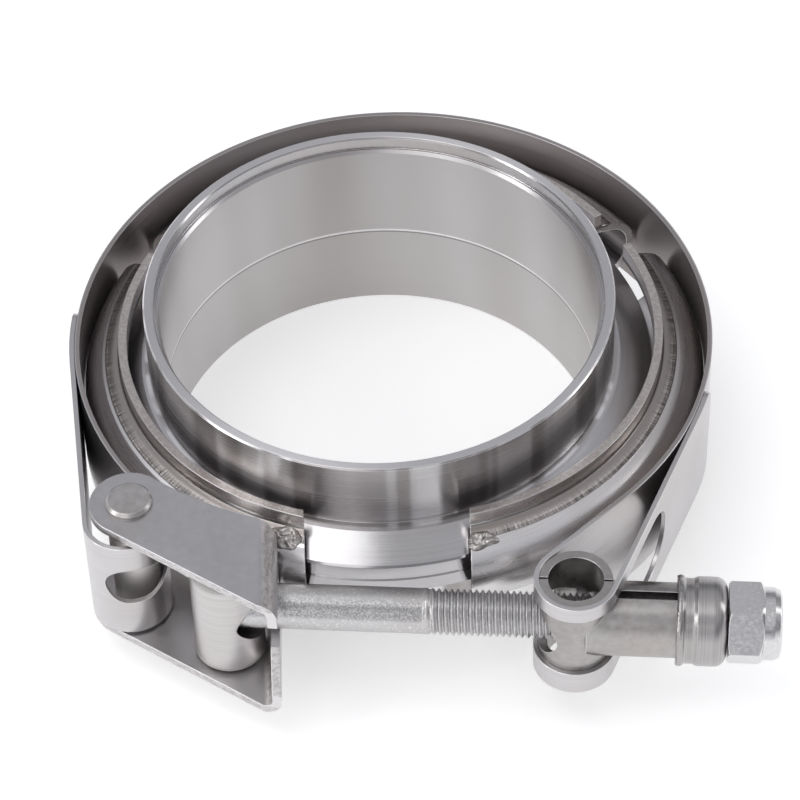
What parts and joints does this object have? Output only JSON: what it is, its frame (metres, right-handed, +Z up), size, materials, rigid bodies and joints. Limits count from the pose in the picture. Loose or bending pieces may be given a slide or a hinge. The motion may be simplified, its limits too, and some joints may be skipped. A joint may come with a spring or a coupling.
{
  "type": "v-band clamp with flange pair",
  "caption": "V-band clamp for an exhaust joint: a steel strap with V retainers around a male and female pipe flange pair, drawn shut by a swing-out T-bolt, latch hook and locknut.",
  "frame": {"origin": "on the flange bore's axis, at the joint face between the two flanges", "axes": "+Z up along the bore towards the female pipe end, +X towards the locknut's side, +Y away from the T-bolt; the clamp stands on its lower flange's pipe end"},
  "size_m": [0.122, 0.1256, 0.0408],
  "materials": {
    "strap": "satin rolled stainless strip, faintly brushed along its length",
    "retainer_left": "satin rolled stainless with coarse drawn lines",
    "retainer_right": "satin rolled stainless with coarse drawn lines",
    "retainer_back": "satin rolled stainless with coarse drawn lines",
    "upper_flange": "fine turned stainless, bright outside and satin in the bore",
    "lower_flange": "fine turned stainless, bright outside and satin in the bore",
    "hook_bracket": "flat satin stainless sheet with bright cut edges",
    "hook_pin": "turned stainless pin with riveted heads",
    "bolt_rod": "grainy plated steel with bright thread crests",
    "bolt_barrel": "fine turned steel",
    "trunnion_sleeve": "rolled stainless sheet, satin",
    "ferrule": "drawn stainless cup with a rough cut rim",
    "locknut": "bright plated steel with soft corners",
    "nut_insert": "plain nylon ring"
  },
  "bodies": {
    "band": {"strap": "strap", "retainer_left": "retainer_left", "retainer_right": "retainer_right", "retainer_back": "retainer_back", "upper_flange": "upper_flange", "lower_flange": "lower_flange"},
    "hook": {"hook_bracket": "hook_bracket", "hook_pin": "hook_pin"},
    "trunnion": {"trunnion_sleeve": "trunnion_sleeve", "ferrule": "ferrule"},
    "bolt": {"bolt_rod": "bolt_rod", "bolt_barrel": "bolt_barrel"},
    "nut": {"locknut": "locknut", "nut_insert": "nut_insert"}
  },
  "joints": [
    {"name": "hook_hinge", "type": "hinge", "parent": "band", "child": "hook", "pos_m": [-0.04346, -0.04089, 0], "axis": [0, 0, 1], "range_deg": [-0.4, 0.25]},
    {"name": "bolt_swing", "type": "hinge", "parent": "band", "child": "trunnion", "pos_m": [0.0316, -0.05875, 0], "axis": [0, 0, 1], "range_deg": [0, 24]},
    {"name": "bolt_draw", "type": "slide", "parent": "trunnion", "child": "bolt", "axis": [0.9961, -0.0879, 0], "range_m": [-0.00317, 0.00035]},
    {"name": "nut_turn", "type": "hinge", "parent": "trunnion", "child": "nut", "pos_m": [0.0316, -0.05875, 0.0008], "axis": [0.9961, -0.0879, 0], "range_deg": [-120, 1080]}
  ],
  "couplings": [
    {"joint": "nut_turn", "follows": "bolt_draw", "rad_per_m": -5936.8}
  ]
}
